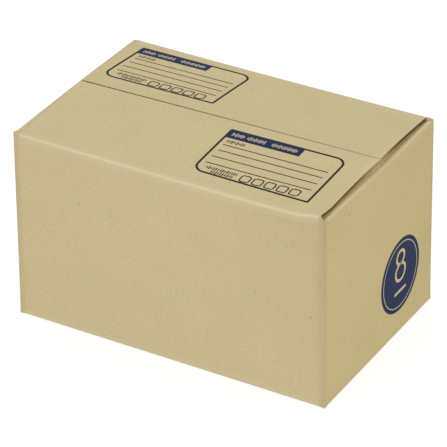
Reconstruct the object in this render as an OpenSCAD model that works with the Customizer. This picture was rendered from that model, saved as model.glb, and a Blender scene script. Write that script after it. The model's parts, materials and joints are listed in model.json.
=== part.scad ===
// Shipping carton: one slotted blank of corrugated board, creased, folded and glued.
// The outer flaps meet on the centre line, over inner flaps from the two end panels.
// The two outer flaps of the top stand a little open, as creased board does when nothing holds it
// down, and swing up and right back. The bottom is glued shut.
// Origin under the middle of the base, X along the length, Z up.

/* [Carton] */
// Outside length, along the long panels
carton_l = 170; // [130:1:400]
// Outside width, along the end panels
carton_w = 110; // [90:1:160]
// Outside height from crease to crease, with the flaps pressed flat
carton_h = 102; // [60:1:300]

/* [Board] */
// Thickness of the corrugated board
board_t = 2.6; // [1.5:0.1:4]
// Inside radius of the creases
crease_r = 0.4; // [0.2:0.1:1.5]
// Radius on the inside of the ridge that an end panel's crease stands up in
ridge_in_r = 0.7; // [0.2:0.1:1.2]
// Step from the outer faces of the outer flaps in to the top of a ridge
ridge_step = 0.2; // [0:0.1:1]

/* [Slots] */
// Gap at the seam, between the free edges of two outer flaps
seam_gap = 0.6; // [0.4:0.1:4]
// Step from a vertical crease in to the end of an outer flap
outer_slot = 0.3; // [0.2:0.1:4]
// Step from a vertical crease in to the side of an inner flap
inner_slot = 0.6; // [0.2:0.1:4]
// Depth of a slot's bottom below the top of the carton, or above its base
slot_bottom = 1; // [0.4:0.1:2.5]

/* [Glue joint] */
// Width of the glue tab inside the back panel
tab_w = 32; // [15:1:45]
// Step from the inner flaps to the nearest corners of the tab
tab_trim = 4; // [1:0.5:15]
// Slant of the tab's two ends, over the tab's width
tab_slant = 8; // [0:0.5:15]
// Step from the outside of the left end panel in to the raw edge of the back panel
joint_step = 0.8; // [0:0.1:2.5]
// Thickness of a glue line
glue_t = 0.2; // [0.1:0.05:0.6]
// Bare margin round a glue line
glue_margin = 3; // [1:0.5:5]

/* [Top flaps] */
// Angle that the top outer flaps stand open by when nothing holds them down
flap_lift = 4; // [0:0.5:90]
// Clearance of the top outer flaps to what they lie on and swing past
flap_clearance = 0.2; // [0.1:0.05:1]

/* [Hidden] */
$fn = 64;
kraft = [0.78, 0.72, 0.56];

// Outside radius of a crease
bend_r = board_t + crease_r;
// Radius on the outside of a ridge
ridge_r = board_t - ridge_in_r;
// Half the run of an outer flap along its crease
outer_flap_half = carton_l / 2 - bend_r - outer_slot;
// Depth of every flap, from the outside of its panel to its free edge: all are cut on one line
flap_depth = (carton_w - seam_gap) / 2;
// Top of the upper inner flaps, under the upper outer flaps
inner_top = carton_h - board_t - flap_clearance;
// Underside of the lower inner flaps, on the glue over the lower outer flaps
inner_base = board_t + glue_t;
// The tab's outer face, one glue line inside the back panel
tab_face = carton_w / 2 - board_t - glue_t;
// Shift of each half that opens a 45 degree mitre by the flap clearance
mitre_shift = flap_clearance / sqrt(2);

// Carries a profile along X from one place to another: its x points along Y, its y along Z
module run_along_x(from, to) {
    translate([from, 0, 0])
        rotate([90, 0, 90])
            linear_extrude(to - from) children();
}

// Carries a profile along Y from one place to another: its y points along Z
module run_along_y(from, to) {
    translate([0, to, 0])
        rotate([90, 0, 0])
            linear_extrude(to - from) children();
}

// Raises a plan from the bottom of the lower slots to the bottom of the upper ones
module raise() {
    translate([0, 0, slot_bottom])
        linear_extrude(carton_h - 2 * slot_bottom) children();
}

// Section of a crease: a quarter turn of the board. Its two outer faces would meet at the
// origin, with the panel below it and the flap to its right.
module crease_section() {
    translate([bend_r, -bend_r])
        intersection() {
            difference() {
                circle(bend_r);
                circle(crease_r);
            }
            translate([-bend_r, 0])
                square(bend_r);
        }
}

// Section of a flap beyond its crease, with its outer face level with the origin
module flap_section(from) {
    translate([from, -board_t])
        square([flap_depth - from, board_t]);
}

// Section of a panel with its outer face on the y axis
module panel_section(low, high) {
    translate([0, low])
        square([board_t, high - low]);
}

// Section of the ridge along the crease of an end panel: the board's edge, rounded more on the
// outside than on the inside, with its top level with the origin
module ridge_section() {
    translate([ridge_r, -ridge_r])
        intersection() {
            circle(ridge_r);
            translate([-ridge_r, 0])
                square(ridge_r);
        }
    translate([ridge_r, -ridge_in_r])
        intersection() {
            circle(ridge_in_r);
            square(ridge_in_r);
        }
    translate([ridge_r, -ridge_r])
        square([ridge_in_r, ridge_r - ridge_in_r]);
}

// The half of a hinged crease that stays on the panel, below the mitre
module panel_half_crease() {
    intersection() {
        crease_section();
        translate([0, -mitre_shift])
            polygon([[0, 0], [0, -bend_r], [bend_r, -bend_r]]);
    }
}

// The half of a hinged crease that swings with the flap, above the mitre
module flap_half_crease() {
    intersection() {
        crease_section();
        translate([mitre_shift, 0])
            polygon([[0, 0], [bend_r, 0], [bend_r, -bend_r]]);
    }
}

// Long panel at the front, with its lower outer flap and the fixed half of its upper crease
module long_side() {
    translate([0, -carton_w / 2, 0])
        run_along_x(-outer_flap_half, outer_flap_half) {
            panel_section(bend_r, carton_h - bend_r);
            translate([0, carton_h])
                panel_half_crease();
            mirror([0, 1]) {
                crease_section();
                flap_section(bend_r);
            }
        }
}

// End panel at the left, between two vertical creases. It stands up in a ridge along each crease,
// and the inner flaps leave it one board further in, between two slots.
module end_side(front_crease, back_crease) {
    low = ridge_step;
    high = carton_h - ridge_step;
    translate([-carton_l / 2, 0, 0]) {
        run_along_y(front_crease, back_crease)
            panel_section(low + ridge_r, high - ridge_r);
        run_along_y(front_crease + inner_slot, back_crease - inner_slot) {
            translate([0, high])
                ridge_section();
            translate([0, low])
                mirror([0, 1])
                    ridge_section();
            translate([0, inner_top])
                flap_section(board_t / 2);
            translate([0, inner_base])
                mirror([0, 1])
                    flap_section(board_t / 2);
        }
    }
}

// Plan of the front left corner: the vertical crease, and the long panel on to its flap's end
module corner_plan() {
    mirror([0, 1])
        crease_section();
    translate([bend_r, 0])
        square([outer_slot, board_t]);
}

// Plan of the back left corner: the end panel turns in one board inside the back panel, towards
// the glue tab, and the back panel runs on to its raw edge
module joint_plan() {
    translate([0, tab_face])
        crease_section();
    translate([joint_step, carton_w / 2 - board_t])
        square([bend_r + outer_slot - joint_step, board_t]);
}

// Glue tab with slanted ends, and the glue line that holds it to the back panel
module glue_tab() {
    low = inner_base + board_t + tab_trim;
    high = inner_top - board_t - tab_trim;
    translate([-carton_l / 2 + bend_r, tab_face, 0]) {
        run_along_y(-board_t, 0)
            polygon([[0, low], [tab_w, low + tab_slant], [tab_w, high - tab_slant], [0, high]]);
        translate([glue_margin, 0, low + tab_slant])
            cube([tab_w - 2 * glue_margin, glue_t, high - low - 2 * tab_slant]);
    }
}

// Glue line between one lower inner flap and one lower outer flap, at the front left
module floor_glue() {
    end_margin = bend_r + outer_slot + glue_margin;
    side_margin = bend_r + inner_slot + glue_margin;
    translate([-carton_l / 2 + end_margin, -carton_w / 2 + side_margin, board_t])
        cube([
            flap_depth - end_margin - glue_margin,
            flap_depth - side_margin - glue_margin,
            glue_t
        ]);
}

// The folded and glued blank, all but the two flaps that open
module carton_body() {
    front_crease = -carton_w / 2 + bend_r;
    color(kraft) {
        for (side = [0, 1])
            mirror([0, side, 0])
                long_side();
        end_side(front_crease, tab_face - bend_r);
        mirror([1, 0, 0])
            end_side(front_crease, -front_crease);
        raise() {
            translate([-carton_l / 2, -carton_w / 2])
                corner_plan();
            mirror([1, 0])
                translate([-carton_l / 2, -carton_w / 2])
                    corner_plan();
            rotate(180)
                translate([-carton_l / 2, -carton_w / 2])
                    corner_plan();
            translate([-carton_l / 2, 0])
                joint_plan();
        }
        glue_tab();
        for (end = [0, 1], side = [0, 1])
            mirror([end, 0, 0])
                mirror([0, side, 0])
                    floor_glue();
    }
}

// Upper outer flap at the front, with the half of the crease that swings with it. It turns about the
// line where the outer faces of panel and flap would meet.
module front_top_flap() {
    color(kraft)
        translate([0, -carton_w / 2, carton_h])
            rotate([flap_lift, 0, 0])
                run_along_x(-outer_flap_half, outer_flap_half) {
                    flap_half_crease();
                    flap_section(bend_r);
                }
}

// Upper outer flap at the back
module back_top_flap() {
    mirror([0, 1, 0])
        front_top_flap();
}

carton_body();
front_top_flap();
back_top_flap();
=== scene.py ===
"""Looks of a small corrugated shipping box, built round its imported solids.

The box is one blank of kraft board. Two long strips carry the outer flaps, two end strips carry the
inner flaps, and four upright folds join them. Lengths are in millimetres until a mesh is made.
"""

import json
import math

import bmesh
import bpy
import numpy as np
from mathutils import Matrix, Vector


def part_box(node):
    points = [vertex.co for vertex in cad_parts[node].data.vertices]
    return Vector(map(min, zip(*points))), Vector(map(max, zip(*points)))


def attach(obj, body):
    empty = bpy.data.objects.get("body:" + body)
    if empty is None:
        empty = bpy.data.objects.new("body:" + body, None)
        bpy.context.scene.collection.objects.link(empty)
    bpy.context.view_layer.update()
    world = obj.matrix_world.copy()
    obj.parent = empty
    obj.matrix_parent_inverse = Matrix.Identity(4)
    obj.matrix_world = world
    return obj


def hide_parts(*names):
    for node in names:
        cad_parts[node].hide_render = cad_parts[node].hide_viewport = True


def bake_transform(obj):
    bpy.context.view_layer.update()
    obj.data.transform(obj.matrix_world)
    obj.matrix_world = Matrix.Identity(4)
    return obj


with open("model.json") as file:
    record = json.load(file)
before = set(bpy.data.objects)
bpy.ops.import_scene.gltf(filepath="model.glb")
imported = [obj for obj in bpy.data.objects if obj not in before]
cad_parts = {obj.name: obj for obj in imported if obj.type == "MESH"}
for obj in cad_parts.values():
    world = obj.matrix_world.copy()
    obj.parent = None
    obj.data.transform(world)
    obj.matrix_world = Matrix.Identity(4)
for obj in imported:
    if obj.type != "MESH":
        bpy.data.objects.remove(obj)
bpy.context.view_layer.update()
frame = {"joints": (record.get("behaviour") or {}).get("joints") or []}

MM = 0.001

# Carton, read from the frame
body_low, body_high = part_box("carton_body")
crease = frame["joints"][0]
LENGTH = (body_high.x - body_low.x) / MM
WIDTH = (body_high.y - body_low.y) / MM
HEIGHT = crease["pos_m"][2] / MM
FLAP_LIFT = math.radians(-crease["range_deg"][0])

# Board, outside and inside radii of its folds, run that a fold takes up, slots and gaps
BOARD = 2.6
UPRIGHT_R = 1.0
LOW_FOLD_R = 1.2
TOP_FOLD_R = 1.2
INSIDE_R = 0.4
FOLD_REACH = 3.0
OUTER_SLOT = 0.3
INNER_SLOT = 0.6
SEAM_GAP = 0.6
FLAP_GAP = 0.2
GLUE = 0.2
FLAP_HALF = LENGTH / 2 - FOLD_REACH - OUTER_SLOT
FLAP_DEPTH = (WIDTH - SEAM_GAP) / 2
INNER_TOP = HEIGHT - BOARD - FLAP_GAP
INNER_BASE = BOARD + GLUE
END_HALF = WIDTH / 2 - FOLD_REACH
INNER_FLAP_HALF = END_HALF - INNER_SLOT

# Glue tab: face, fold, width, trim and slant of its ends, and the runs of its root
TAB_FACE = WIDTH / 2 - BOARD - GLUE
TAB_FOLD_R = 0.8
TAB_W = 32.0
TAB_TRIM = 4.0
TAB_SLANT = 8.0
TAB_STEP = 1.5
TAB_ROOT = 0.5
TAB_END = -LENGTH / 2 + FOLD_REACH + TAB_W

# Raw edge of the back panel: place, how open its groove is, and the drop of its top
RAW_EDGE = LENGTH / 2 - 0.15
RAW_OPEN = 0.35
RAW_DROP = 0.5

# Top folds: sag in the middle, a long and a short pull up at the front right corner, and their reach
FOLD_SAG = 0.35
EAR = 0.3
EAR_RUN = 45.0
EAR_DEPTH_DOWN = 14.0
EAR_DEPTH_IN = 30.0
TIP = 1.7
TIP_RUN = 14.0
TIP_DEPTH = 12.0

# Bow of the panels, lean of the ends, and the back left corner's further lean beyond a place in x
BOW = 0.25
LEAN = 0.9
CORNER_LEAN = 0.7
CORNER_FROM = 78.0

# Ridges along the end folds: rounding, levels, crest, wall, its step beyond the flaps and its lean
RIDGE_R = 0.9
RIDGE_TOP = HEIGHT - 0.05
RIDGE_BASE = 0.1
RIDGE_CREST = 83.8
RIDGE_WALL = 82.0
WALL_STEP = 0.05
WALL_LEAN = 0.02

# Roundings of a ridge at the wall's foot, the shoulder's foot and the crest
RIDGE_ROUNDS = (0.3, 0.1, 1.0)

# Fall of a ridge's shoulder to its wall: right end at front and back, left end, and lower ridges
RIDGE_FALLS = (1.0, 1.8)
LEFT_FALL = 0.2
LOW_FALL = 0.6

# Bow of the upper ridges' crests, and the height that it grows from
RIDGE_BOW = 0.45
BOW_FROM = 60.0

# Run of an inner flap that follows the wall, start of the ridge's rise over it, and step inside the panel
FLAP_FADE = 12.0
RIDGE_FROM = 0.4
INSIDE_STEP = 0.8

# Upright folds: lip at the top, sharper lip and turn at the foot, and the height they fade over
LIP_R = 0.5
LOW_LIP_R = 0.3
LOW_UPRIGHT_R = 0.4
SHARP_RUN = 4.0

# Upright folds by side in x, side in y and rise of the top, and the pace of the top's fall to the ridge
CORNERS = ((1, -1, 0.0), (-1, -1, 0.5), (1, 1, -0.3), (-1, 1, 0.1))
TOP_PACE = 1.4

# Flap ends at the fold and at the seam, and on the right the power of the run between them
FRONT_RIGHT_END = (81.9, 83.5, 4)
BACK_RIGHT_END = (81.0, 83.0, 2)
LEFT_END = (-81.7, -80.3)

# Place and turn of the seam
SEAM_SHIFT = 0.7
SEAM_TURN = 0.018

# Paling along a fold, as strength and width: top folds, lower folds and ridges.
# It is partly crushed fibres and partly painted highlight on the rounded fold
TOP_WEAR_AND_HIGHLIGHT = (0.7, 0.6)
LOW_WEAR_AND_HIGHLIGHT = (0.4, 1.0)
RIDGE_WEAR_AND_HIGHLIGHT = (0.3, 0.9)

# Flap corners at the seam's right end: run, paling and its start, and the lining's drop past the ridge.
# The paling is partly a rubbed corner and partly painted light
CORNER_RUN = 5.0
RUB_AND_HIGHLIGHT = 0.5
RUB_AND_HIGHLIGHT_FROM = 0.55
DROOP_PAST = 0.3

# Darkening at the upright folds, close and wide: strength, and runs to the long side and the end.
# The wide one is painted shade that deepens towards the right end and upward
FOLD_DARKENING = 0.3
FOLD_DARKENING_RUNS = (3.0, 1.2)
PAINTED_SHADE_RIGHT = 0.2
PAINTED_SHADE_RUNS = (45.0, 1.2)

# Corrugation: flute spacing, share of the board that each liner takes, half the medium's share
FLUTE = 6.5
LINER_SHARE = 0.12
MEDIUM_HALF = 0.055
FLUTE_SWING = 0.5 - LINER_SHARE - MEDIUM_HALF - 0.004

# Cut edges: depth across the flutes; along them the medium's place, pocket depths and share worn shut
CUT_DEPTH = 1.4
SIDE_WAVE = 0.68
SIDE_DEPTHS = (1.8, 0.0, 0.1, 0.1)
SIDE_CLOSED = 0.8

# Kinds of face, in the order of the board's materials, and the kind of each strip of an edge
OUTSIDE, INSIDE, CUT, FLUTED_SHADE = range(4)
# The upper pocket takes the dark fluting colour: partly the browner medium, partly painted shade in the
# void under the liner
CUT_KINDS = (CUT, FLUTED_SHADE, FLUTED_SHADE, FLUTED_SHADE, CUT, CUT, CUT, CUT, CUT)
PLAIN_KINDS = (CUT,) * len(CUT_KINDS)

# Samples to a flute, round a fold and along a printed line
COLUMNS_PER_FLUTE = 10
BEND_STEPS = 9
LINE_STEPS = 24

# Least length of a step, least lengths between points and of an edge, and the angle of a sharp edge
TINY = 1e-6
MERGE = 0.001
SLIVER = 0.0002
SHARP_ANGLE = 32.0

# Start of each strip on the unfolded blank, and height of the upright pieces over its lower edge
BLANK = {"front": 0.0, "folds": 100.0, "right": 200.0, "back": 400.0, "tab": 700.0, "left": 800.0}
BLANK_RISE = 55.0

# Printed address panels: sizes in their own plane, from the header's outer corner
HEADER_W = 39.8
HEADER_H = 6.7
PANEL_W = 62.0
PANEL_ROUND = 5.6
PANEL_SHARP = 0.3
PANEL_LINE = 1.15
RULE_LINE = 0.55
RULE_ENDS = (2.8, 58.8)
RULE_ROWS = (12.8, 17.8, 23.3, 29.0)
BOX_SIDE = 4.8
BOX_ROUND = 1.2
BOX_LINE = 0.65
BOX_FIRST = 26.8
BOX_STEP = 6.54
BOX_ROW = 33.8
BOX_COUNT = 5

# Runs of ticks: from, to and row in the panel, and from and to in the header
SMALL_TICKS = ((3.4, 7.4, 9.4), (8.4, 13.2, 9.4), (5.6, 12.0, 32.4), (13.0, 22.0, 32.4), (9.4, 20.4, 35.0))
HEADER_TICKS = ((2.6, 9.4), (10.8, 20.6), (24.0, 37.6))

# Height and width of a tick, its pitch in widths, and the swing of its height
SMALL_TICK = (1.9, 0.6)
HEADER_TICK = (2.4, 0.5)
TICK_PITCH = 2.0
TICK_SWING = 0.16
TICK_TURN = 2.4

# Panels on the flaps: header's left end, distance from the fold, turn and slant in degrees, depth's share
FRONT_PANEL = (8.3, 48.25, -0.84, -0.5, 1.0)
BACK_PANEL = (-74.3, 7.5, -0.71, -1.35, 0.988)

# Depth of a panel's lower line at its left and right ends: the plates print a little out of square
FRONT_BOTTOM = (36.5, 38.4)
BACK_BOTTOM = (37.5, 37.3)

# Corners of a square round its middle, as shares of half its side
SQUARE = np.array([(-1, -1), (1, -1), (1, 1), (-1, 1)])

# Round size mark on the right end: centre, radius, share of the radius at the ring, and line widths
MARK_Y = 20.9
MARK_Z = 32.8
MARK_R = 19.9
MARK_RING = 0.88
RING_LINE = 0.45
MARK_LINE = 1.5

# Loops of the mark's numeral as height, half width, half height and points, and the bar below it
MARK_LOOPS = ((9.9, 3.9, 3.6, 58), (1.7, 4.9, 4.6, 64))
BAR_HALF = 6.0
BAR_DROP = 9.0

# Ink stands this far out of the board's skin and reaches as far into it
INK_RISE = 0.05

# Paper patterns: clouds of pulp, cells with a speck, share of them that show it, its core and rim in a cell
CLOUD = 22.0
SPECK_CELL = 6.0
SPECK_SHARE = 0.18
SPECK_SIZES = (0.04, 0.09)

# Fibres along and across the web, and grain: real ones are too fine to show, so these are coarser
FIBRE = (2.6, 0.7)
GRAIN = 1.4

# Streaks of cut paper, also coarser than real ones
STREAK = 1.2

# Mottle of ink and of bare paper, coarse too: size, detail, noise from and to, most share, roughness, gloss
INK = (0.8, 3.0, 0.35, 0.75, 0.5, 0.7, 0.25)
BARE = (0.9, 2.0, 0.0, 1.0, 1.0, 0.8, 0.3)

# Shares of the patterns in the paper's tone, clouds from and to, and the flutes' share in its relief
CLOUD_TONES = (-0.97, -0.73)
FIBRE_TONE = 1.2
GRAIN_TONE = 1.7
FLUTE_TONE = 0.025
FLUTE_BUMP = 0.15


# Curves and shares


def smooth(t):
    """Eases from 0 to 1: three t squared less two t cubed, held outside."""
    t = np.clip(t, 0.0, 1.0)
    return t * t * (3.0 - 2.0 * t)


def bell(distance, strength, width):
    """Bell curve: the strength times e to the minus square of distance over width."""
    return strength * np.exp(-((distance / width) ** 2))


def bent_line(corners, radii, runs, bends=BEND_STEPS):
    """A line through corners, rounded at each inner one.

    A straight run is cut into equal steps. At a corner the arc of the given radius touches both
    runs: it starts radius times the tangent of half the turn before the corner.
    """
    corners = np.asarray(corners, float)
    heading = np.diff(corners, axis=0)
    heading /= np.linalg.norm(heading, axis=1)[:, None]
    start = corners[0]
    pieces = []
    for k, count in enumerate(runs):
        last = k == len(radii)
        if last:
            end = corners[-1]
        else:
            cosine = np.clip(heading[k] @ heading[k + 1], -1.0, 1.0)
            turn = np.arccos(cosine)
            cut = radii[k] * np.tan(turn / 2)
            end = corners[k + 1] - heading[k] * cut
        pieces.append(start + np.linspace(0.0, 1.0, count)[:, None] * (end - start))
        if not last:
            side = heading[k + 1] - heading[k] * cosine
            side /= np.linalg.norm(side)
            angle = np.linspace(0.0, turn, bends + 2)[1:-1, None]
            arc = np.sin(angle) * heading[k] + (1.0 - np.cos(angle)) * side
            pieces.append(end + radii[k] * arc)
            start = corners[k + 1] + heading[k + 1] * cut
    return np.concatenate(pieces)


def run_length(line):
    """Distance along a line of points, from its first one."""
    steps = np.linalg.norm(np.diff(line, axis=0), axis=1)
    return np.concatenate([[0.0], np.cumsum(steps)])


def fold_rise(x, back):
    """Height of a top fold over its level line: less a cosine over the length.

    At the front right corner, where the upright fold holds it up, a smooth step over EAR_RUN is added.
    """
    rise = -FOLD_SAG * np.cos(np.pi * x / LENGTH)
    if back:
        return rise
    return rise + EAR * smooth((x - (FLAP_HALF - EAR_RUN)) / EAR_RUN)


def tip_rise(x, back):
    """Height that the front right corner adds to its fold: a smooth step over the last TIP_RUN."""
    return 0.0 if back else TIP * smooth((x - (FLAP_HALF - TIP_RUN)) / TIP_RUN)


def flared(ends, reach):
    """Place of a flap's right end: from that at the fold to that at the seam, as a power of the reach."""
    at_fold, at_seam, power = ends
    return at_fold + (at_seam - at_fold) * reach**power


def seam_shift(x, back):
    """How much deeper a flap is than half the width: the seam's place and turn, against each other."""
    shift = SEAM_SHIFT + SEAM_TURN * x
    return -shift if back else shift


# Shells


def grid_faces(rows, columns, first):
    """Four corners of every cell of a grid that is stored row by row from index first."""
    corner = first + np.arange(rows * columns).reshape(rows, columns)
    cell = np.stack([corner[:-1, :-1], corner[1:, :-1], corner[1:, 1:], corner[:-1, 1:]], axis=-1)
    return cell.reshape(-1, 4)


def cut_rim(outer, inner, outward, wave, depths):
    """Cut edge of the board: ten rows across its thickness.

    They are a liner's edge, a pocket, the medium's edge, a pocket and the other liner's edge. The
    medium runs at share wave of the thickness. Pockets are sunk by depths, against outward.
    """
    low = np.full_like(wave, LINER_SHARE)
    near = wave - MEDIUM_HALF
    far = wave + MEDIUM_HALF
    share = np.stack([0 * low, low, low, near, near, far, far, 1 - low, 1 - low, 1 + 0 * low])
    flush = 0 * low
    sunk = np.stack([flush, flush, *depths[:2], flush, flush, *depths[2:], flush, flush])
    return outer + share[..., None] * (inner - outer) - sunk[..., None] * outward


def shell(outer, inner, flat, wear_and_painted_light, rims):
    """Closed sheet from two skins, given as grids of points, and a rim along each named edge.

    flat holds the grid's place on the unfolded blank, and worn how much paler it is, from wear at folds and
    painted highlight, or below zero how much darker, at the upright folds and from painted shade. rims maps
    an edge, u0, u1, v0 or v1, to None for a plain edge or to the wave and depths of a cut one. Beside a cut
    edge a plain one has as many rows, so that they meet.
    """
    rows, columns = outer.shape[:2]
    points = [outer.reshape(-1, 3), inner.reshape(-1, 3)]
    flats = [flat.reshape(-1, 2)] * 2
    paled = [wear_and_painted_light.reshape(-1)] * 2
    faces = [grid_faces(rows, columns, 0), grid_faces(rows, columns, rows * columns)]
    kinds = [np.full(len(faces[0]), OUTSIDE), np.full(len(faces[1]), INSIDE)]
    count = 2 * rows * columns
    edges = {
        "u0": (np.s_[0], np.s_[1]),
        "u1": (np.s_[-1], np.s_[-2]),
        "v0": (np.s_[:, 0], np.s_[:, 1]),
        "v1": (np.s_[:, -1], np.s_[:, -2]),
    }
    all_plain = not any(rims.values())
    for edge, cut in rims.items():
        at, beside = edges[edge]
        if all_plain:
            rim = np.stack([outer[at], inner[at]])
            strips = PLAIN_KINDS[:1]
        else:
            strips = CUT_KINDS if cut else PLAIN_KINDS
            wave, depths = cut or side_cut(np.zeros(len(outer[at])))
            outward = outer[at] - outer[beside]
            outward = outward / np.maximum(np.linalg.norm(outward, axis=1), TINY)[:, None]
            rim = cut_rim(outer[at], inner[at], outward, wave, depths)
        across, along = rim.shape[:2]
        points.append(rim.reshape(-1, 3))
        flats.append(np.tile(flat[at], (across, 1)))
        paled.append(np.tile(wear_and_painted_light[at], across))
        faces.append(grid_faces(across, along, count))
        kinds.append(np.repeat(strips, along - 1))
        count += across * along
    return [np.concatenate(part) for part in (points, flats, paled, faces, kinds)]


def joined(shells):
    """Several shells as one: their arrays end to end, with each shell's faces counted on."""
    first = np.cumsum([0] + [len(one[0]) for one in shells[:-1]])
    faces = [one[3] + start for one, start in zip(shells, first)]
    parts = [np.concatenate([one[k] for one in shells]) for k in (0, 1, 2)]
    return parts + [np.concatenate(faces), np.concatenate([one[4] for one in shells])]


def flute_wave(across):
    """Place of the medium in the board's thickness: a sine over the flute spacing."""
    return 0.5 + FLUTE_SWING * np.sin(2 * np.pi * across / FLUTE)


def flute_cut(across):
    """Wave and pocket depths of an edge cut across the flutes: one depth, with the two ends shut.

    There the medium's place is that of an edge cut along the flutes, which meets this one.
    """
    depth = np.full(len(across), CUT_DEPTH)
    depth[[0, -1]] = 0.0
    wave = flute_wave(across)
    wave[[0, -1]] = SIDE_WAVE
    return wave, (depth,) * 4


def side_cut(open_rows):
    """Wave and pocket depths of an edge cut along the flutes: a groove under the outer liner.

    open_rows gives the share of its depth at each point, and the two ends are shut.
    """
    open_rows = np.array(open_rows, float)
    open_rows[[0, -1]] = 0.0
    return np.full(len(open_rows), SIDE_WAVE), tuple(depth * open_rows for depth in SIDE_DEPTHS)


def strip_rims(open_rows, across):
    """Rims of a strip: cut along the flutes at its two ends, and across them at its free edges."""
    ends = side_cut(open_rows)
    return {"u0": ends, "u1": ends, "v0": flute_cut(across[:, 0]), "v1": flute_cut(across[:, -1])}


def add_piece(name, made, materials):
    """A mesh object at the origin from a shell, with doubles merged and faces turned outwards.

    Lengthwise the shell narrows with height, from more than full at the base to less at the top. Beyond
    CORNER_FROM on the left it leans in further, in proportion to the height and the way to the back.
    """
    points, flat, wear_and_painted_light, faces, kinds = made
    points = points.copy()
    up = np.clip(points[:, 2] / HEIGHT, 0.0, 1.0)
    points[:, 0] *= 1 + LEAN / LENGTH * (0.5 - 2 * up)
    beyond = np.clip((-points[:, 0] - CORNER_FROM) / (LENGTH / 2 - CORNER_FROM), 0.0, 1.0)
    points[:, 0] += CORNER_LEAN * beyond * up * np.clip(0.5 + points[:, 1] / WIDTH, 0.0, 1.0)
    mesh = bpy.data.meshes.new(name)
    mesh.from_pydata(points * MM, [], faces)
    mesh.polygons.foreach_set("material_index", kinds.astype(np.int32))
    mesh.polygons.foreach_set("use_smooth", np.ones(len(faces), bool))
    corner = np.zeros(len(mesh.loops), np.int32)
    mesh.loops.foreach_get("vertex_index", corner)
    blank = (flat * MM)[corner].astype(np.float32)
    mesh.uv_layers.new(name="blank").data.foreach_set("uv", blank.ravel())
    # The mark pales or darkens the paper: wear, painted highlight and painted shade
    mesh.attributes.new("wear_and_painted_light", "FLOAT", "POINT").data.foreach_set("value", wear_and_painted_light.astype(np.float32))
    close_up(mesh)
    mesh.set_sharp_from_angle(angle=math.radians(SHARP_ANGLE))
    for material in materials:
        mesh.materials.append(material)
    piece = bpy.data.objects.new(name, mesh)
    bpy.context.scene.collection.objects.link(piece)
    return piece


def close_up(mesh):
    """Merges points that meet, drops edges of no length and turns each closed shell outwards."""
    work = bmesh.new()
    work.from_mesh(mesh)
    bmesh.ops.remove_doubles(work, verts=work.verts, dist=MERGE * MM)
    bmesh.ops.dissolve_degenerate(work, edges=work.edges, dist=SLIVER * MM)
    bmesh.ops.recalc_face_normals(work, faces=work.faces)
    work.to_mesh(mesh)
    work.free()


# Boards


def fold_darkening_and_shade(from_fold, z, right):
    """Darkening at an upright fold: a bell with its own run to each side of the fold.

    On the right a wider and weaker bell of painted shade is added, which grows in proportion to the height.
    """
    near = bell(from_fold, FOLD_DARKENING, np.where(from_fold < 0, *FOLD_DARKENING_RUNS))
    wide = bell(from_fold, PAINTED_SHADE_RIGHT, np.where(from_fold < 0, *PAINTED_SHADE_RUNS))
    return near + np.where(right, wide, 0.0) * z / HEIGHT


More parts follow.
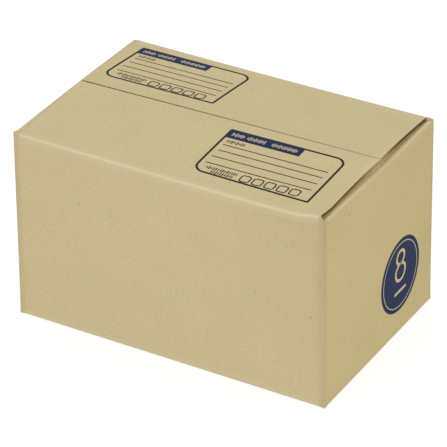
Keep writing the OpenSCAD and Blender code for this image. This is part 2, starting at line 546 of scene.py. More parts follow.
def long_strip(back):
    """Long panel with its lower and upper outer flap: a bent line carried along the length.

    The section runs from the lower flap's free edge round the lower fold, up the panel, over the
    upper fold and on to the upper flap's free edge. Its skins are two bent lines with as many points.
    The upper fold's rise fades out down the panel and in along the flap. At the seam's right end the
    lining droops to just past the foot of the ridge.
    """
    slope = np.array([math.cos(FLAP_LIFT), math.sin(FLAP_LIFT)])
    under = BOARD * np.array([-slope[1], slope[0]])
    face = -WIDTH / 2
    fold = np.array([face, HEIGHT])
    free = fold + FLAP_DEPTH * slope
    low_free = face + FLAP_DEPTH
    inner_fold = fold + BOARD * (1 - slope[1]) / slope[0] * slope - under
    runs = (14, 30, 26)
    outer_line = bent_line([(low_free, 0), (face, 0), fold, free], (LOW_FOLD_R, TOP_FOLD_R), runs)
    inner_line = bent_line(
        [(low_free, BOARD), (face + BOARD, BOARD), inner_fold, free - under],
        (INSIDE_R, INSIDE_R),
        runs,
    )
    side = -1.0 if back else 1.0
    rows = len(outer_line)
    first_fold = runs[0]
    first_panel = first_fold + BEND_STEPS
    first_top = first_panel + runs[1]
    first_flap = first_top + BEND_STEPS
    number = np.arange(rows)
    on_panel = (number >= first_panel) & (number < first_top)
    on_upper = number >= first_flap
    along = run_length((outer_line + inner_line) / 2)
    fold_at = along[first_top + BEND_STEPS // 2]
    low_fold_at = along[first_fold + BEND_STEPS // 2]
    # Paler bands along the two folds: partly crushed fibres, partly painted highlight on the rounded folds
    wear_and_highlight_row = bell(along - fold_at, *TOP_WEAR_AND_HIGHLIGHT) + bell(along - low_fold_at, *LOW_WEAR_AND_HIGHLIGHT)

    reach = np.clip((outer_line - fold) @ slope / FLAP_DEPTH, 0.0, 1.0)
    reach = np.where(number >= first_top, reach, 0.0)
    right_end = BACK_RIGHT_END if back else FRONT_RIGHT_END
    right = np.where(on_upper, flared(right_end, reach), FLAP_HALF)
    left = np.where(on_upper, LEFT_END[0] + (LEFT_END[1] - LEFT_END[0]) * reach, -FLAP_HALF)
    columns = int(LENGTH / FLUTE * COLUMNS_PER_FLUTE)
    share = np.linspace(0.0, 1.0, columns)[:, None]
    x = left + (right - left) * share
    from_fold = np.where(number < first_top, HEIGHT - outer_line[:, 1], reach * FLAP_DEPTH)
    depth = np.where(number < first_top, EAR_DEPTH_DOWN, EAR_DEPTH_IN)
    lift = fold_rise(x, back) * (1 - smooth(from_fold / depth))
    lift = lift + tip_rise(x, back) * (1 - smooth(from_fold / TIP_DEPTH))
    deeper = reach * seam_shift(x, back)
    swell = -BOW * np.cos(np.pi * np.clip(x / (2 * FLAP_HALF), -0.5, 0.5)) * on_panel
    swell = swell * np.sin(np.pi * np.clip(outer_line[:, 1] / HEIGHT, 0, 1))
    by_end = smooth((x - right + CORNER_RUN) / CORNER_RUN) * on_upper
    by_seam = smooth((reach - RUB_AND_HIGHLIGHT_FROM) / (1 - RUB_AND_HIGHLIGHT_FROM))
    over_ridge = inner_line[:, 1] + lift - ridge_foot(side * inner_line[:, 0], False)
    droop = by_end * np.clip(over_ridge + DROOP_PAST, 0.0, None)

    def skin(line, lowered):
        y = line[:, 0] + swell + deeper * slope[0]
        return np.stack([x, side * y, line[:, 1] + lift + deeper * slope[1] - lowered], axis=-1)

    flat = np.stack([x + BLANK["back" if back else "front"], np.broadcast_to(along, x.shape)], axis=-1)
    # Darker at the upright folds, and painted shade that deepens towards the right end and upward
    darkening_and_shade = fold_darkening_and_shade(np.abs(x) - LENGTH / 2, outer_line[:, 1], x > 0) * on_panel
    # The flap corner at the seam's right end is paler: partly a rubbed corner, partly painted light
    wear_and_painted_light = wear_and_highlight_row + RUB_AND_HIGHLIGHT * by_end * by_seam - darkening_and_shade
    end_open = on_upper * (1 - SIDE_CLOSED * by_seam) + (number < first_fold)
    return shell(skin(outer_line, 0.0), skin(inner_line, droop), flat, wear_and_painted_light, strip_rims(end_open, x))


def ridge_foot(y, left):
    """Height of a ridge at its wall: the crest's, less a fall that grows evenly from the middle."""
    fall = LEFT_FALL if left else np.where(y < 0, *RIDGE_FALLS)
    return RIDGE_TOP - fall * np.abs(y) / END_HALF


def wall_place(y, left):
    """Inner wall of a ridge: one small step beyond the ends of the outer flaps.

    On the right these flare out towards the seam.
    """
    if left:
        return -LEFT_END[0] + WALL_STEP + 0 * y
    seam = seam_shift(RIDGE_WALL, False)
    front = flared(FRONT_RIGHT_END, np.clip((y + WIDTH / 2) / (seam + WIDTH / 2), 0.0, 1.0))
    back = flared(BACK_RIGHT_END, np.clip((WIDTH / 2 - y) / (WIDTH / 2 - seam), 0.0, 1.0))
    return np.where(y < seam, front, back) + WALL_STEP


def end_strip(left):
    """End panel with its lower and upper inner flap: a ridged section carried across the width.

    From a flap the outer skin climbs a wall, leans over a shoulder to the ridge's crest, and turns a
    quarter circle into the panel. The shoulder's foot rises towards the middle of the width, and the
    upper crest bows out there as a cosine. The inner skin is three straight runs with as many points.
    """
    face = LENGTH / 2
    free = face - FLAP_DEPTH
    lean = RIDGE_WALL + WALL_LEAN
    runs = (12, 3, 3, 2, 30, 2, 3, 3, 12)
    bends = 5
    outer_line = bent_line(
        [
            (free, INNER_BASE),
            (RIDGE_WALL, INNER_BASE),
            (lean, RIDGE_BASE + LOW_FALL),
            (RIDGE_CREST, RIDGE_BASE),
            (face, RIDGE_BASE),
            (face, RIDGE_TOP),
            (RIDGE_CREST, RIDGE_TOP),
            (lean, RIDGE_TOP - LOW_FALL),
            (RIDGE_WALL, INNER_TOP),
            (free, INNER_TOP),
        ],
        (*RIDGE_ROUNDS, RIDGE_R, RIDGE_R, *RIDGE_ROUNDS[::-1]),
        runs,
        bends,
    )
    rows = len(outer_line)
    number = np.arange(rows)
    foot = runs[0]
    panel = sum(runs[:4]) + 4 * bends
    knots = [0, foot, panel - 4, panel, rows - 1 - panel, rows + 3 - panel, rows - 1 - foot, rows - 1]
    inside = face - BOARD
    low = INNER_BASE + BOARD
    high = INNER_TOP - BOARD
    inner_x = [free, RIDGE_WALL, inside, inside, inside, inside, RIDGE_WALL, free]
    inner_z = [low, low, low, low + INSIDE_STEP, high - INSIDE_STEP, high, high, high]
    inner_line = np.stack([np.interp(number, knots, inner_x), np.interp(number, knots, inner_z)], axis=-1)
    on_panel = (number >= panel) & (number <= rows - 1 - panel)
    on_flap_rows = (number < foot) | (number > rows - 1 - foot)
    along = run_length((outer_line + inner_line) / 2)
    crest = panel - bends
    # Paler bands along the two crests: partly crushed fibres, partly painted highlight
    wear_and_highlight_row = sum(bell(along - along[k], *RIDGE_WEAR_AND_HIGHLIGHT) for k in (crest, rows - 1 - crest))
    half_width = np.where(on_flap_rows, INNER_FLAP_HALF, END_HALF)
    back_half = half_width
    if left:
        before_tab = half_width - (END_HALF - TAB_FACE + TAB_FOLD_R)
        back_half = np.where(on_flap_rows | on_panel, before_tab, TAB_FACE)
    columns = int(2 * END_HALF / FLUTE * COLUMNS_PER_FLUTE)
    share = np.linspace(0.0, 1.0, columns)[:, None]
    y = -half_width + (back_half + half_width) * share
    arch = np.cos(np.pi * np.clip(y / (2 * END_HALF), -0.5, 0.5))
    swell = BOW * arch * on_panel * np.sin(np.pi * np.clip(outer_line[:, 1] / HEIGHT, 0, 1))
    from_wall = np.where(
        outer_line[:, 0] < RIDGE_WALL,
        (RIDGE_WALL - outer_line[:, 0]) / FLAP_FADE,
        (outer_line[:, 0] - lean) / (RIDGE_CREST - lean),
    )
    by_wall = np.clip(1 - from_wall, 0.0, 1.0)
    upper = outer_line[:, 1] > HEIGHT / 2
    on_ridge = (outer_line[:, 1] > INNER_TOP + RIDGE_FROM) & ~on_panel
    wall_shift = (wall_place(y, left) - RIDGE_WALL) * by_wall * upper
    rise = (ridge_foot(y, left) - RIDGE_TOP + LOW_FALL) * by_wall * on_ridge
    out_there = np.clip((outer_line[:, 0] - lean) / (RIDGE_CREST - lean), 0.0, 1.0)
    out_there = out_there * smooth((outer_line[:, 1] - BOW_FROM) / (HEIGHT - BOW_FROM))
    swell = swell + RIDGE_BOW * out_there * arch
    side = -1.0 if left else 1.0

    def skin(line, shift, rise):
        return np.stack([side * (line[:, 0] + swell + shift), y, line[:, 1] + rise + 0 * y], axis=-1)

    flat = np.stack([y + BLANK["left" if left else "right"], np.broadcast_to(along, y.shape)], axis=-1)
    wear_and_painted_light = np.broadcast_to(wear_and_highlight_row, y.shape)
    rims = strip_rims(on_flap_rows, y)
    return shell(skin(outer_line, wall_shift, rise), skin(inner_line, 0.0, 0.0), flat, wear_and_painted_light, rims)


def upright_fold(x_side, y_side, rise):
    """Upright fold at one corner: a quarter turn in plan, carried up the height.

    Towards its top and bottom the outer skin draws in on a quarter circle, so that the fold ends in
    a rounded lip that meets the top fold on one side and the ridge on the other. Its top rises between
    them as half a sine. The lower lip is sharpest at the corner, by the square of the way to its sides,
    and the turn there sharpens as an exponential of the height. At the back left, where the blank is
    glued, the board runs straight to its raw edge.
    """
    raw = x_side < 0 < y_side
    if raw:
        plan_out = bent_line([(FLAP_HALF, WIDTH / 2), (RAW_EDGE, WIDTH / 2)], (), (9,))
        plan_in = plan_out - (0.0, BOARD)
        plan_low = plan_out
    else:
        inside_x = LENGTH / 2 - BOARD
        inside_y = WIDTH / 2 - BOARD
        corner = [(FLAP_HALF, WIDTH / 2), (LENGTH / 2, WIDTH / 2), (LENGTH / 2, END_HALF)]
        plan_out = bent_line(corner, (UPRIGHT_R,), (3, 3))
        plan_low = bent_line(corner, (LOW_UPRIGHT_R,), (3, 3))
        inside_corner = [(FLAP_HALF, inside_y), (inside_x, inside_y), (inside_x, END_HALF)]
        plan_in = bent_line(inside_corner, (INSIDE_R,), (3, 3))
    along = run_length(plan_out)
    ratio = (along / along[-1])[:, None]
    at_fold = fold_rise(x_side * FLAP_HALF, y_side > 0) + tip_rise(x_side * FLAP_HALF, y_side > 0)
    top = RIDGE_TOP + (HEIGHT - RIDGE_TOP + at_fold) * (1 - smooth(ratio * TOP_PACE))
    top = top + rise * np.sin(np.pi * ratio)
    if raw:
        top = top - RAW_DROP * smooth(2 * ratio)
    base = RIDGE_BASE + 0 * ratio
    turn = np.linspace(0.0, np.pi / 2, BEND_STEPS)
    beside = np.where(ratio < 0.5, LOW_FOLD_R, RIDGE_R)
    low_lip = LOW_LIP_R + (beside - LOW_LIP_R) * (2 * ratio - 1) ** 2
    low = base + low_lip * (1 - np.cos(turn))
    high = top - LIP_R * (1 - np.cos(turn[::-1]))
    middle = np.linspace(0.0, 1.0, 20)[1:-1]
    z = np.concatenate([low, low[:, -1:] + middle * (high[:, :1] - low[:, -1:]), high], axis=1)
    top_draw = LIP_R * (1 - np.sin(turn[::-1])) + 0 * ratio
    draw = np.concatenate([low_lip * (1 - np.sin(turn)), 0 * ratio * middle, top_draw], axis=1)
    share = (draw / BOARD)[..., None]
    sharp = np.exp(-(z - base) / SHARP_RUN)[..., None]
    out = plan_out[:, None, :] + sharp * (plan_low - plan_out)[:, None, :]
    inn = np.broadcast_to(plan_in[:, None, :], out.shape)
    out = out + share * (inn - out)
    turned = np.array([x_side, y_side])
    outer = np.concatenate([out * turned, z[..., None]], axis=-1)
    fall = LEFT_FALL if x_side < 0 else RIDGE_FALLS[int(y_side > 0)]
    toward_ridge = smooth(ratio) * (not raw)
    z_inner = np.clip(z, base + LOW_FALL * toward_ridge, top - fall * toward_ridge)
    inner = np.concatenate([inn * turned, z_inner[..., None]], axis=-1)
    flat = np.stack([np.broadcast_to(BLANK["folds"] + along[:, None], z.shape), z + BLANK_RISE], axis=-1)
    from_edge = along - (along[-1] if raw else along[len(along) // 2])
    # Darker at the fold, and on the right painted shade that grows upward
    wear_and_painted_light = -fold_darkening_and_shade(from_edge[:, None], z, x_side > 0)
    rims = dict.fromkeys(("u0", "u1", "v0", "v1"))
    if raw:
        straight_rows = np.zeros(z.shape[1])
        straight_rows[BEND_STEPS:-BEND_STEPS] = 1.0
        rims["u1"] = side_cut(RAW_OPEN * straight_rows)
    made = shell(outer, inner, flat, wear_and_painted_light, rims)
    made[4][made[4] == CUT] = OUTSIDE
    return made


def glue_tab():
    """Back left fold and glue tab: a quarter turn in plan that runs on inside the back panel.

    The fold has the panel's height. The tab's two ends slant in over its width.
    """
    plan_out = bent_line(
        [(-LENGTH / 2, TAB_FACE - TAB_FOLD_R), (-LENGTH / 2, TAB_FACE), (TAB_END, TAB_FACE)],
        (TAB_FOLD_R,),
        (2, 24),
    )
    plan_in = bent_line(
        [
            (-LENGTH / 2 + BOARD, TAB_FACE - BOARD - TAB_ROOT),
            (-LENGTH / 2 + BOARD, TAB_FACE - BOARD),
            (TAB_END, TAB_FACE - BOARD),
        ],
        (INSIDE_R,),
        (2, 24),
    )
    run = np.clip(plan_out[:, 0] - TAB_END + TAB_W, 0.0, TAB_W)
    step = smooth(run / TAB_STEP)
    slant = TAB_SLANT * run / TAB_W
    fold_low = RIDGE_BASE + RIDGE_R
    fold_high = RIDGE_TOP - RIDGE_R
    low = fold_low + (INNER_BASE + BOARD + TAB_TRIM - fold_low) * step + slant
    high = fold_high - (fold_high - INNER_TOP + BOARD + TAB_TRIM) * step - slant
    z = low[:, None] + (high - low)[:, None] * np.linspace(0.0, 1.0, 24)
    outer = np.concatenate([np.broadcast_to(plan_out[:, None], z.shape + (2,)), z[..., None]], axis=-1)
    inner = np.concatenate([np.broadcast_to(plan_in[:, None], z.shape + (2,)), z[..., None]], axis=-1)
    along = np.broadcast_to(BLANK["tab"] + run_length(plan_out)[:, None], z.shape)
    flat = np.stack([along, z + BLANK_RISE], axis=-1)
    wear_and_painted_light = np.zeros(z.shape)
    rims = {"u0": None, "u1": side_cut(np.ones(z.shape[1])), "v0": None, "v1": None}
    return shell(outer, inner, flat, wear_and_painted_light, rims)


# Print


def band(path, width, closed=False):
    """Both edges of a band along a path in its plane: half the width along the normal to each side."""
    if closed:
        ahead = np.roll(path, -1, axis=0) - np.roll(path, 1, axis=0)
    else:
        ahead = np.gradient(path, axis=0)
    ahead /= np.linalg.norm(ahead, axis=1)[:, None]
    normal = np.stack([-ahead[:, 1], ahead[:, 0]], axis=-1)
    half = width / 2
    left = path + normal * half
    right = path - normal * half
    if closed:
        left = np.concatenate([left, left[:1]])
        right = np.concatenate([right, right[:1]])
    return left, right


def outline(corners, radii, runs):
    """Closed line through four corners, each with its own radius, from the middle of its left side."""
    corners = np.asarray(corners, float)
    middle = (corners[0] + corners[3]) / 2
    return bent_line([middle, *corners, middle], radii, (runs,) * 5, 7)[:-1]


def oval(centre, across, tall, count):
    """Closed ellipse: cosine of the angle across, sine of it up."""
    angle = np.linspace(0.0, 2 * np.pi, count, endpoint=False)
    return np.stack([centre[0] + across * np.cos(angle), centre[1] + tall * np.sin(angle)], axis=-1)


def film(edges, place, rise, closed=False, across=2):
    """Thin layer of ink between two edges: a grid across the band, placed on the board's skin.

    place turns plane points into points on the skin and its normal. The film stands rise above the
    skin and reaches as far below it.
    """
    left, right = edges
    share = np.linspace(0.0, 1.0, across)[:, None]
    plane = left[:, None, :] + share * (right - left)[:, None, :]
    points, normal = place(plane)
    flat = points[..., :2] + points[..., 2:]
    wear_and_painted_light = np.zeros(plane.shape[:2])
    rims = dict.fromkeys(("v0", "v1") if closed else ("u0", "u1", "v0", "v1"))
    made = shell(points + rise * normal, points - INK_RISE * normal, flat, wear_and_painted_light, rims)
    made[4] = np.zeros_like(made[4])
    return made


def on_flap(panel, back):
    """Placing function of a printed panel on an upper flap.

    The panel turns about its header's corner. A point's distance from the fold then sets its height
    on the flap's skin, which runs straight from the fold's corner to the free edge.
    """
    x0, s0, turn, slant, depth = panel
    along_p = (math.cos(math.radians(turn)), math.sin(math.radians(turn)))
    along_q = (depth * math.sin(math.radians(slant)), depth * math.cos(math.radians(slant)))
    face = -WIDTH / 2
    slope = (math.cos(FLAP_LIFT), math.sin(FLAP_LIFT))
    side = -1.0 if back else 1.0

    def place(plane):
        p = plane[..., 0]
        q = plane[..., 1]
        x = x0 + along_p[0] * p + along_q[0] * q
        down = along_p[1] * p + along_q[1] * q
        s = s0 + down if back else s0 - down
        row = s / (1 + seam_shift(x, back) / FLAP_DEPTH)
        z = HEIGHT + slope[1] * s + fold_rise(x, back) * (1 - smooth(row / EAR_DEPTH_IN))
        points = np.stack([x, side * (face + slope[0] * s), z], axis=-1)
        return points, np.array([0.0, -side * slope[1], slope[0]])

    return place


def on_right_end(plane):
    """Placing function of the size mark: plane x runs to the back and plane y up, on the bowed panel."""
    y = plane[..., 0]
    z = plane[..., 1]
    bow = BOW * np.cos(np.pi * y / (2 * END_HALF)) * np.sin(np.pi * z / HEIGHT)
    return np.stack([LENGTH / 2 + bow, y, z], axis=-1), np.array([1.0, 0.0, 0.0])


def panel_header(place):
    """Solid inked header of an address panel."""
    line = np.linspace((0, HEADER_H / 2), (HEADER_W, HEADER_H / 2), LINE_STEPS)
    return film(band(line, HEADER_H), place, 1.5 * INK_RISE, across=5)


def panel_lines(place, bottom):
    """Thin inked lines of an address panel: frame, rules, boxes for a code, and small ticks.

    bottom gives the depth of the frame's lower line at its left and right ends.
    """
    parts = []
    corners = [(0, 0), (PANEL_W, 0), (PANEL_W, bottom[1]), (0, bottom[0])]
    frame_line = outline(corners, (PANEL_SHARP, PANEL_ROUND) * 2, 16)
    parts.append(film(band(frame_line, PANEL_LINE, True), place, INK_RISE, True))
    for row in RULE_ROWS:
        line = np.linspace((RULE_ENDS[0], row), (RULE_ENDS[1], row), LINE_STEPS)
        parts.append(film(band(line, RULE_LINE), place, INK_RISE))
    for k in range(BOX_COUNT):
        centre = np.array([BOX_FIRST + k * BOX_STEP, BOX_ROW])
        box_line = outline(centre + BOX_SIDE / 2 * SQUARE, (BOX_ROUND,) * 4, 4)
        parts.append(film(band(box_line, BOX_LINE, True), place, INK_RISE, True))
    for start, end, row in SMALL_TICKS:
        parts += ticks(place, start, end, row, SMALL_TICK, INK_RISE)
    return joined(parts)


def ticks(place, start, end, row, tick, rise):
    """A run of upright ticks: even spacing, heights that swing as a sine."""
    tall, wide = tick
    parts = []
    for k, p in enumerate(np.arange(start, end, TICK_PITCH * wide)):
        half = tall * (0.5 + TICK_SWING * math.sin(TICK_TURN * k + start))
        line = np.linspace((p, row - half), (p, row + half), 3)
        parts.append(film(band(line, wide), place, rise))
    return parts


def panel_bare(place):
    """Unprinted ticks in a header, where the board shows through the ink."""
    parts = []
    for start, end in HEADER_TICKS:
        parts += ticks(place, start, end, HEADER_H / 2, HEADER_TICK, 2 * INK_RISE)
    return joined(parts)


def mark_ink():
    """Inked disc of the size mark: a band round half its radius, as wide as the radius."""
    disc = oval((MARK_Y, MARK_Z), MARK_R / 2, MARK_R / 2, 96)
    return film(band(disc, MARK_R, True), on_right_end, INK_RISE, True, 14)


def mark_bare():
    """Unprinted parts of the size mark: a thin ring, a plain numeral of two loops, and a short bar."""
    ring = oval((MARK_Y, MARK_Z), MARK_RING * MARK_R, MARK_RING * MARK_R, 120)
    parts = [film(band(ring, RING_LINE, True), on_right_end, 2 * INK_RISE, True)]
    for up, across, tall, count in MARK_LOOPS:
        loop = oval((MARK_Y, MARK_Z + up), across, tall, count)
        parts.append(film(band(loop, MARK_LINE, True), on_right_end, 2 * INK_RISE, True))
    bar_z = MARK_Z - BAR_DROP
    bar = np.linspace((MARK_Y - BAR_HALF, bar_z), (MARK_Y + BAR_HALF, bar_z), 8)
    parts.append(film(band(bar, MARK_LINE), on_right_end, 2 * INK_RISE))
    return joined(parts)


# Materials


def linear(code):
    """Linear colour of an sRGB hex code."""
    value = np.array([int(code[k : k + 2], 16) for k in (1, 3, 5)]) / 255
    value = np.where(value <= 0.04045, value / 12.92, ((value + 0.055) / 1.055) ** 2.4)
    return (*value, 1.0)


def new_material(name):
    """An empty node material and its tree."""
    material = bpy.data.materials.new(name)
    material.use_nodes = True
    material.node_tree.nodes.clear()
    return material, material.node_tree


def add(tree, kind, inputs=None, **settings):
    """Adds a node, sets its settings, and fills its inputs with values or with other nodes' outputs.

    A node among the inputs stands for its first output. A colour Mix takes its share at input 0 and its
    colours at 6 and 7, and gives the result at output 2.
    """
    node = tree.nodes.new(kind)
    for name, value in settings.items():
        setattr(node, name, value)
    for key, value in (inputs or {}).items():
        if isinstance(value, bpy.types.Node):
            value = value.outputs[0]
        if isinstance(value, bpy.types.NodeSocket):
            tree.links.new(value, node.inputs[key])
        else:
            node.inputs[key].default_value = value
    return node


def kraft(name, paper, shade, pale):
    """Kraft liner, an uncoated brown paper: cloudy pulp, fine fibres along the web, a few dark specks.

    The flutes print through as faint bands. The folds are paler, partly from crushed fibres and partly as
    painted highlight. The upright folds are darker, and painted shade deepens towards the right end and
    upward.
    """
    material, tree = new_material(name)
    blank = add(tree, "ShaderNodeUVMap", uv_map="blank")
    cloud = add(tree, "ShaderNodeTexNoise", {"Vector": blank, "Scale": 1 / (CLOUD * MM), "Detail": 3.0})
    web_scale = (1 / (FIBRE[0] * MM), 1 / (FIBRE[1] * MM), 1.0)
    web = add(tree, "ShaderNodeMapping", {"Vector": blank, "Scale": web_scale})
    fibre = add(tree, "ShaderNodeTexNoise", {"Vector": web, "Scale": 1.0, "Detail": 2.0})
    grained = {"Vector": blank, "Scale": 1 / (GRAIN * MM), "Detail": 3.0, "Roughness": 0.65}
    grain = add(tree, "ShaderNodeTexNoise", grained)
    across = add(tree, "ShaderNodeSeparateXYZ", {"Vector": blank})
    turns = 2 * math.pi / (FLUTE * MM)
    phase = add(tree, "ShaderNodeMath", {0: across, 1: turns}, operation="MULTIPLY")
    flute = add(tree, "ShaderNodeMath", {0: phase}, operation="SINE")

    low, high = CLOUD_TONES
    clouded = {"Value": cloud, "From Min": 0.3, "From Max": 0.7, "To Min": low, "To Max": high}
    tone = add(tree, "ShaderNodeMapRange", clouded)
    for pattern, share in ((fibre, FIBRE_TONE), (grain, GRAIN_TONE), (flute, FLUTE_TONE)):
        tone = add(tree, "ShaderNodeMath", {0: pattern, 1: share, 2: tone}, operation="MULTIPLY_ADD")
    colour = add(tree, "ShaderNodeMix", {0: tone, 6: linear(paper), 7: linear(shade)}, data_type="RGBA")

    cell = {"Vector": blank, "Scale": 1 / (SPECK_CELL * MM), "Randomness": 1.0}
    spots = add(tree, "ShaderNodeTexVoronoi", cell)
    core, rim = SPECK_SIZES
    distance = spots.outputs["Distance"]
    spot = {"Value": distance, "From Min": core, "From Max": rim, "To Min": 1.0, "To Max": 0.0}
    near = add(tree, "ShaderNodeMapRange", spot)
    chosen = add(tree, "ShaderNodeSeparateColor", {"Color": spots.outputs["Color"]})
    rare = add(tree, "ShaderNodeMath", {0: chosen, 1: 1 - SPECK_SHARE}, operation="GREATER_THAN")
    speck = add(tree, "ShaderNodeMath", {0: near, 1: rare}, operation="MULTIPLY")
    speck = add(tree, "ShaderNodeMath", {0: speck, 1: chosen.outputs[1]}, operation="MULTIPLY")

    wear_and_painted_light = add(tree, "ShaderNodeAttribute", attribute_name="wear_and_painted_light").outputs["Fac"]
    # Paling where the mark is above zero: partly crushed and rubbed fibres, partly painted highlight
    wear_and_highlight = add(tree, "ShaderNodeMath", {0: wear_and_painted_light, 1: fibre}, operation="MULTIPLY")
    wear_and_highlight = add(tree, "ShaderNodeMath", {0: wear_and_highlight, 1: 1.5}, operation="MULTIPLY", use_clamp=True)
    # Darkening where the mark is below zero: at the upright folds, and painted shade towards the right end
    # and upward
    darkening_and_shade = add(tree, "ShaderNodeMath", {0: wear_and_painted_light, 1: -1.0}, operation="MULTIPLY", use_clamp=True)
    for share, tint in ((speck, "#6B5A36"), (wear_and_highlight, pale), (darkening_and_shade, "#9A8A60")):
        tinted = {0: share, 6: colour.outputs[2], 7: linear(tint)}
        colour = add(tree, "ShaderNodeMix", tinted, data_type="RGBA")

    height = add(tree, "ShaderNodeMath", {0: grain, 1: fibre}, operation="ADD")
    height = add(tree, "ShaderNodeMath", {0: flute, 1: FLUTE_BUMP, 2: height}, operation="MULTIPLY_ADD")
    bump = add(tree, "ShaderNodeBump", {"Height": height, "Strength": 0.12, "Distance": 0.05 * MM})
    uneven = {"Value": grain, "From Min": 0.3, "From Max": 0.7, "To Min": 0.72, "To Max": 0.86}
    rough = add(tree, "ShaderNodeMapRange", uneven)
    skin = add(
        tree,
        "ShaderNodeBsdfPrincipled",
        {
            "Base Color": colour.outputs[2],
            "Roughness": rough,
            "Normal": bump,
            "IOR": 1.45,
            "Specular IOR Level": 0.3,
        },
    )
    add(tree, "ShaderNodeOutputMaterial", {"Surface": skin})
    return material


def cut_paper(name, pale, deep):
    """Cut paper of corrugated board: torn edges, browner than the liners, with streaks along the cut."""
    material, tree = new_material(name)
    place = add(tree, "ShaderNodeTexCoord").outputs["Object"]
    streak = add(tree, "ShaderNodeTexNoise", {"Vector": place, "Scale": 1 / (STREAK * MM), "Detail": 3.0})
    colour = add(tree, "ShaderNodeMix", {0: streak, 6: linear(pale), 7: linear(deep)}, data_type="RGBA")
    wear_and_painted_light = add(tree, "ShaderNodeAttribute", attribute_name="wear_and_painted_light").outputs["Fac"]
    # Cut edges pale towards a lighter tint at the folds and at the seam's flap corner: partly rubbed paper,
    # partly painted light
    wear_and_highlight = {0: wear_and_painted_light, 6: colour.outputs[2], 7: linear("#C8B78C")}
    colour = add(tree, "ShaderNodeMix", wear_and_highlight, data_type="RGBA")
    bump = add(tree, "ShaderNodeBump", {"Height": streak, "Strength": 0.3, "Distance": 0.1 * MM})
    skin = add(
        tree,
        "ShaderNodeBsdfPrincipled",
        {
            "Base Color": colour.outputs[2],
            "Roughness": 0.9,
            "Normal": bump,
            "IOR": 1.45,
            "Specular IOR Level": 0.2,
        },
    )
    add(tree, "ShaderNodeOutputMaterial", {"Surface": skin})
    return material


def printed(name, deep, thin, mottle):
    """Film of the print, mottled from deep to thin by a noise: dull ink that the paper drinks unevenly.

    Bare kraft between the ink has its own two tones and its fine grain.
    """
    size, detail, low, high, most, rough, gloss = mottle
    material, tree = new_material(name)
    place = add(tree, "ShaderNodeTexCoord").outputs["Object"]
    noise = add(tree, "ShaderNodeTexNoise", {"Vector": place, "Scale": 1 / (size * MM), "Detail": detail})
    thinned = {"Value": noise, "From Min": low, "From Max": high, "To Min": 0.0, "To Max": most}
    share = add(tree, "ShaderNodeMapRange", thinned)
    colour = add(tree, "ShaderNodeMix", {0: share, 6: linear(deep), 7: linear(thin)}, data_type="RGBA")
    skin = add(
        tree,
        "ShaderNodeBsdfPrincipled",
        {"Base Color": colour.outputs[2], "Roughness": rough, "IOR": 1.45, "Specular IOR Level": gloss},
    )
    add(tree, "ShaderNodeOutputMaterial", {"Surface": skin})
    return material


# The third colour of each liner tints its paler folds: partly crushed fibres, partly painted highlight
outside = kraft("kraft_liner_outside", "#CCBD93", "#C0B086", "#D8CAA4")
inside = kraft("kraft_liner_inside", "#C6B78D", "#BBAB80", "#D2C49C")
cut = cut_paper("cut_liner", "#C6B384", "#AE9866")
# Darker brown of the medium, deepened as painted shade of the void under the outer liner
fluting_and_shade = cut_paper("fluting_and_shade", "#7E663F", "#664F2C")
# A solid area shows the ink's navy, and a thin line of it sinks into the brown paper to near black
ink = printed("solid_ink", "#0D1E46", "#1E325E", INK)
line_ink = printed("line_ink", "#1C1B1A", "#2C2A26", INK)
bare = printed("bare_paper", "#D2C7A2", "#BFB087", BARE)
board_materials = (outside, inside, cut, fluting_and_shade)


# Pieces

front_board = add_piece("front_board", long_strip(False), board_materials)
back_board = add_piece("back_board", long_strip(True), board_materials)
right_end = add_piece("right_end_board", end_strip(False), board_materials)
left_end = add_piece("left_end_board", end_strip(True), board_materials)
four_folds = joined([upright_fold(*corner) for corner in CORNERS])
corner_folds = add_piece("corner_folds", four_folds, board_materials)
tab = add_piece("glue_tab", glue_tab(), board_materials)

front_place = on_flap(FRONT_PANEL, False)
back_place = on_flap(BACK_PANEL, True)
front_header = add_piece("front_header", panel_header(front_place), (ink,))
back_header = add_piece("back_header", panel_header(back_place), (ink,))
front_lines = add_piece("front_lines", panel_lines(front_place, FRONT_BOTTOM), (line_ink,))
back_lines = add_piece("back_lines", panel_lines(back_place, BACK_BOTTOM), (line_ink,))
front_ticks = add_piece("front_header_ticks", panel_bare(front_place), (bare,))
back_ticks = add_piece("back_header_ticks", panel_bare(back_place), (bare,))
mark = add_piece("end_mark", mark_ink(), (ink,))
mark_gaps = add_piece("end_mark_gaps", mark_bare(), (bare,))

# Each long board, its panel and top flap in one mesh, has its place baked into its points
for board, body, side in ((front_board, "front_flap", -1.0), (back_board, "back_flap", 1.0)):
    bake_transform(board)
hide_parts("front_top_flap")
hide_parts("back_top_flap")
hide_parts("carton_body")
for piece in (right_end, left_end, corner_folds, tab, mark, mark_gaps):
    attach(piece, "carton")
for piece in (front_header, front_lines, front_ticks):
    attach(piece, "front_flap")
for piece in (back_header, back_lines, back_ticks):
    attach(piece, "back_flap")


# Floor, light and camera


# Half the floor's side and how far it lies under the box, in metres
FLOOR_REACH = 5.0
FLOOR_DROP = 0.05 * MM


def seen_ray(tree):
    """One on a ray from the camera, off a gloss or through glass: the largest of their three flags."""
    path = add(tree, "ShaderNodeLightPath")
    seen = path.outputs["Is Camera Ray"]
    for flag in ("Is Glossy Ray", "Is Transmission Ray"):
        seen = add(tree, "ShaderNodeMath", {0: seen, 1: path.outputs[flag]}, operation="MAXIMUM")
    return seen


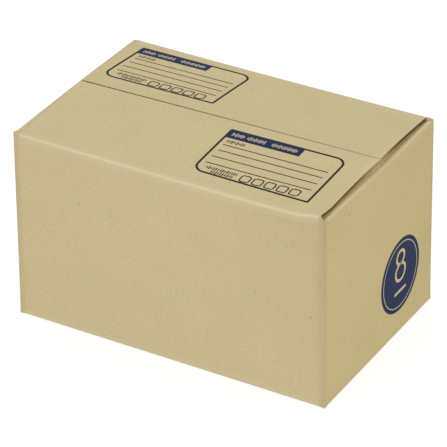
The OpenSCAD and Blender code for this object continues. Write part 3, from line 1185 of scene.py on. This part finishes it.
def pale_floor():
    """White studio floor: it keeps the box's shadow, and the camera sees the rest of it as white."""
    mesh = bpy.data.meshes.new("floor")
    corners = [(x, y, -FLOOR_DROP) for x, y in FLOOR_REACH * SQUARE]
    mesh.from_pydata(corners, [], [(0, 1, 2, 3)])
    material, tree = new_material("floor_white")
    plain = add(tree, "ShaderNodeBsdfDiffuse", {"Color": linear("#606060")})
    lit = add(tree, "ShaderNodeEmission", {"Color": linear("#FFF3D0"), "Strength": 0.48})
    plain = add(tree, "ShaderNodeAddShader", {0: plain, 1: lit})
    soft = add(tree, "ShaderNodeBsdfDiffuse", {"Color": linear("#A0A0A0")})
    glow = add(tree, "ShaderNodeEmission", {"Color": linear("#FFFFFF"), "Strength": 0.72})
    shown = add(tree, "ShaderNodeAddShader", {0: soft, 1: glow})
    both = add(tree, "ShaderNodeMixShader", {0: seen_ray(tree), 1: plain, 2: shown})
    add(tree, "ShaderNodeOutputMaterial", {"Surface": both})
    mesh.materials.append(material)
    floor = bpy.data.objects.new("floor", mesh)
    bpy.context.scene.collection.objects.link(floor)


def studio_world():
    """Even light from all round; the camera sees the world as white."""
    world = bpy.data.worlds.new("studio")
    bpy.context.scene.world = world
    world.use_nodes = True
    tree = world.node_tree
    tree.nodes.clear()
    light = add(tree, "ShaderNodeBackground", {"Color": linear("#FAFAF8"), "Strength": 1.04})
    white = add(tree, "ShaderNodeBackground", {"Color": linear("#FFFFFF"), "Strength": 1.0})
    both = add(tree, "ShaderNodeMixShader", {0: seen_ray(tree), 1: light, 2: white})
    add(tree, "ShaderNodeOutputWorld", {"Surface": both})


def soft_lamp(name, place, size, power, colour):
    """Square area lamp that faces the middle of the box."""
    data = bpy.data.lights.new(name, "AREA")
    data.shape = "SQUARE"
    data.size = size
    data.energy = power
    data.color = linear(colour)[:3]
    lamp = bpy.data.objects.new(name, data)
    lamp.location = place
    aim = Vector((0, 0, HEIGHT / 2 * MM)) - lamp.location
    lamp.rotation_mode = "QUATERNION"
    lamp.rotation_quaternion = aim.to_track_quat("-Z", "Y")
    bpy.context.scene.collection.objects.link(lamp)


# Camera, solved from the box's corners: focal length in pixels, angles in degrees, lengths in millimetres
FRAME_PX = 447
SENSOR = 36.0
FOCAL_PX = 3093.57
AZIMUTH = 30.357
ELEVATION = 31.308
ROLL = -0.599
AIM_Z = 50.0
SIDESTEP = 0.771
RAISE = 2.245
DISTANCE = 1501.0


def photo_camera():
    """Camera of the photograph: its axes from azimuth, elevation and roll, its place along them."""
    azimuth, elevation, roll = np.radians([AZIMUTH, ELEVATION, ROLL])
    right = np.array([np.cos(azimuth), np.sin(azimuth), 0.0])
    back = np.array(
        [np.sin(azimuth) * np.cos(elevation), -np.cos(azimuth) * np.cos(elevation), np.sin(elevation)]
    )
    up = np.cross(back, right)
    rolled_right = right * np.cos(roll) + up * np.sin(roll)
    rolled_up = up * np.cos(roll) - right * np.sin(roll)
    place = np.array([0.0, 0.0, AIM_Z]) - SIDESTEP * rolled_right - RAISE * rolled_up + DISTANCE * back
    data = bpy.data.cameras.new("photo_camera")
    data.sensor_width = SENSOR
    data.lens = FOCAL_PX * SENSOR / FRAME_PX
    data.clip_start = 0.05
    data.clip_end = 50.0
    camera = bpy.data.objects.new("photo_camera", data)
    axes = np.stack([rolled_right, rolled_up, back], axis=1)
    turned = np.eye(4)
    turned[:3, :3] = axes
    turned[:3, 3] = place * MM
    camera.matrix_world = Matrix(turned.tolist())
    bpy.context.scene.collection.objects.link(camera)
    bpy.context.scene.camera = camera


pale_floor()
studio_world()
soft_lamp("key", (0.05, -0.9, 0.16), 0.4, 3.0, "#CBD3F4")
soft_lamp("side", (0.3, -0.075, 0.02), 0.12, 0.108, "#FFF4C8")
photo_camera()
bpy.context.scene.view_settings.view_transform = "Standard"
